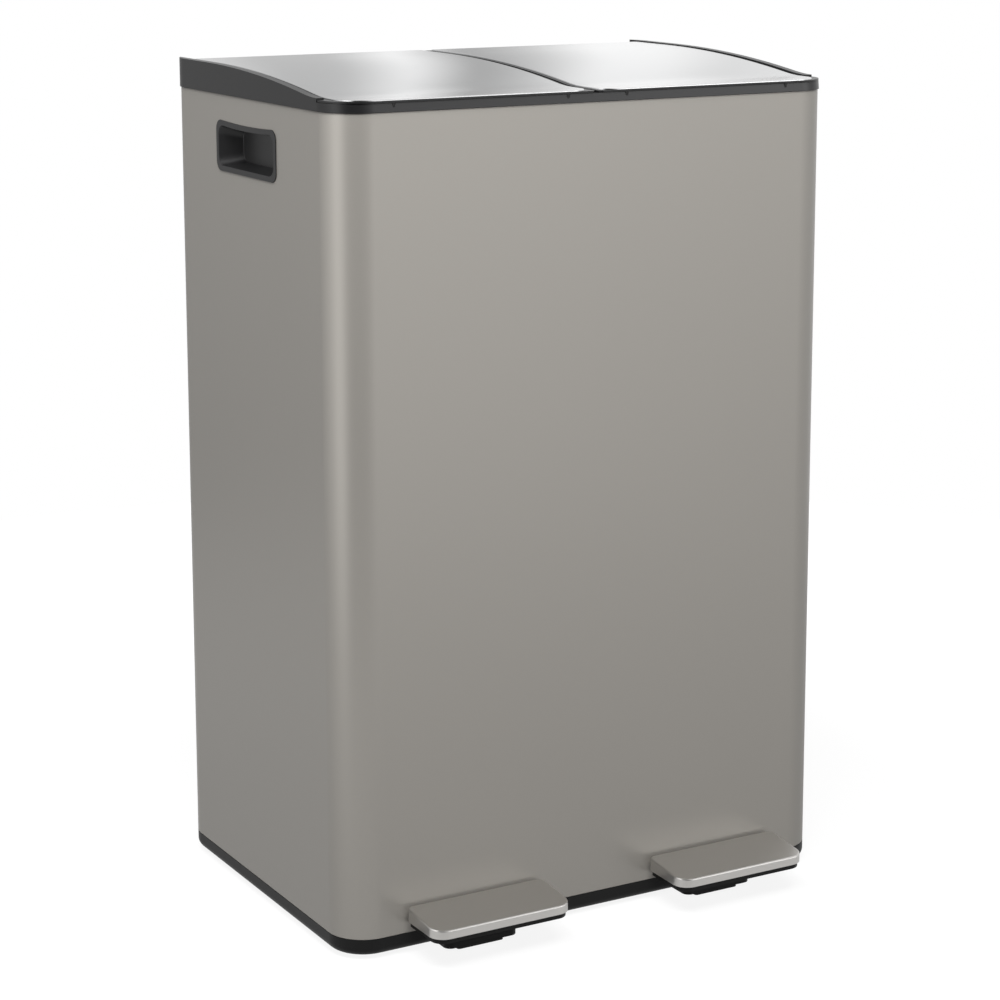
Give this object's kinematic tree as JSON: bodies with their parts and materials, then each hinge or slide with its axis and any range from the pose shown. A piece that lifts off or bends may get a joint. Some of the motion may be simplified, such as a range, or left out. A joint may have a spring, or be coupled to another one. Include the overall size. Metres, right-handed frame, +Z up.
{
  "type": "double pedal bin",
  "caption": "Free-standing double recycling bin: steel casing, domed steel lids side by side, each lifted by its own front pedal, lift-out inner buckets.",
  "frame": {"origin": "on the floor, under the middle of the casing's plan", "axes": "+Z up, +X to the right seen from the front, the pedals point to -Y"},
  "size_m": [0.434, 0.3542, 0.6591],
  "materials": {
    "powder_coat": "fine powder coat, satin",
    "rim_plastic": "moulded, fine grain",
    "black_plastic": "moulded, fine grain",
    "bucket_plastic": "moulded, smooth",
    "natural_plastic": "moulded, smooth",
    "damper_tube": "moulded, smooth",
    "satin_steel": "satin",
    "pedal_steel": "satin",
    "zinc_steel": "zinc plated",
    "zinc_sheet": "zinc plated sheet",
    "black_rubber": "matt"
  },
  "bodies": {
    "casing": {"body_shell": "powder_coat", "base_tray": "black_plastic", "base_feet": "black_rubber", "top_rim": "rim_plastic", "lid_bumpers": "black_rubber", "lever_rest_pads": "black_rubber", "axle_clips": "zinc_steel", "guard_screws": "zinc_steel", "damper_clips": "black_plastic", "handle_cup_left": "rim_plastic", "bucket_left": "bucket_plastic", "hinge_rod_left": "zinc_steel", "pedal_axle_left": "zinc_steel", "rod_guard_left": "zinc_sheet", "rod_guides_left": "natural_plastic", "damper_cylinder_left": "damper_tube", "handle_cup_right": "rim_plastic", "bucket_right": "bucket_plastic", "hinge_rod_right": "zinc_steel", "pedal_axle_right": "zinc_steel", "rod_guard_right": "zinc_sheet", "rod_guides_right": "natural_plastic", "damper_cylinder_right": "damper_tube"},
    "lid_left": {"lid_skin_left": "satin_steel", "lid_liner_left": "rim_plastic", "lid_crank_left": "zinc_sheet", "crank_pin_left": "zinc_steel", "crank_screws_left": "zinc_steel"},
    "rod_left": {"push_rod_left": "zinc_steel", "damper_plunger_left": "zinc_steel", "rod_collar_left": "natural_plastic"},
    "pedal_left": {"pedal_cover_left": "pedal_steel", "pedal_underlay_left": "black_plastic", "pedal_lever_left": "zinc_sheet", "pedal_screws_left": "zinc_steel", "lever_pin_left": "zinc_steel"},
    "lid_right": {"lid_skin_right": "satin_steel", "lid_liner_right": "rim_plastic", "lid_crank_right": "zinc_sheet", "crank_pin_right": "zinc_steel", "crank_screws_right": "zinc_steel"},
    "rod_right": {"push_rod_right": "zinc_steel", "damper_plunger_right": "zinc_steel", "rod_collar_right": "natural_plastic"},
    "pedal_right": {"pedal_cover_right": "pedal_steel", "pedal_underlay_right": "black_plastic", "pedal_lever_right": "zinc_sheet", "pedal_screws_right": "zinc_steel", "lever_pin_right": "zinc_steel"}
  },
  "joints": [
    {"name": "lid_left_hinge", "type": "hinge", "parent": "casing", "child": "lid_left", "pos_m": [-0.108, 0.1225, 0.646], "axis": [-1, 0, 0], "range_deg": [0, 80]},
    {"name": "rod_left_slide", "type": "slide", "parent": "casing", "child": "rod_left", "axis": [0, 0, 1], "range_m": [0, 0.0181]},
    {"name": "pedal_left_hinge", "type": "hinge", "parent": "casing", "child": "pedal_left", "pos_m": [-0.108, -0.045, 0.02], "axis": [1, 0, 0], "range_deg": [0, 6.67]},
    {"name": "lid_right_hinge", "type": "hinge", "parent": "casing", "child": "lid_right", "pos_m": [0.108, 0.1225, 0.646], "axis": [-1, 0, 0], "range_deg": [0, 80]},
    {"name": "rod_right_slide", "type": "slide", "parent": "casing", "child": "rod_right", "axis": [0, 0, 1], "range_m": [0, 0.0181]},
    {"name": "pedal_right_hinge", "type": "hinge", "parent": "casing", "child": "pedal_right", "pos_m": [0.108, -0.045, 0.02], "axis": [1, 0, 0], "range_deg": [0, 6.67]}
  ],
  "couplings": [
    {"joint": "rod_left_slide", "follows": "lid_left_hinge", "m_per_rad": 0.01289},
    {"joint": "pedal_left_hinge", "follows": "lid_left_hinge", "ratio": 0.083089},
    {"joint": "rod_right_slide", "follows": "lid_right_hinge", "m_per_rad": 0.01289},
    {"joint": "pedal_right_hinge", "follows": "lid_right_hinge", "ratio": 0.083089}
  ]
}
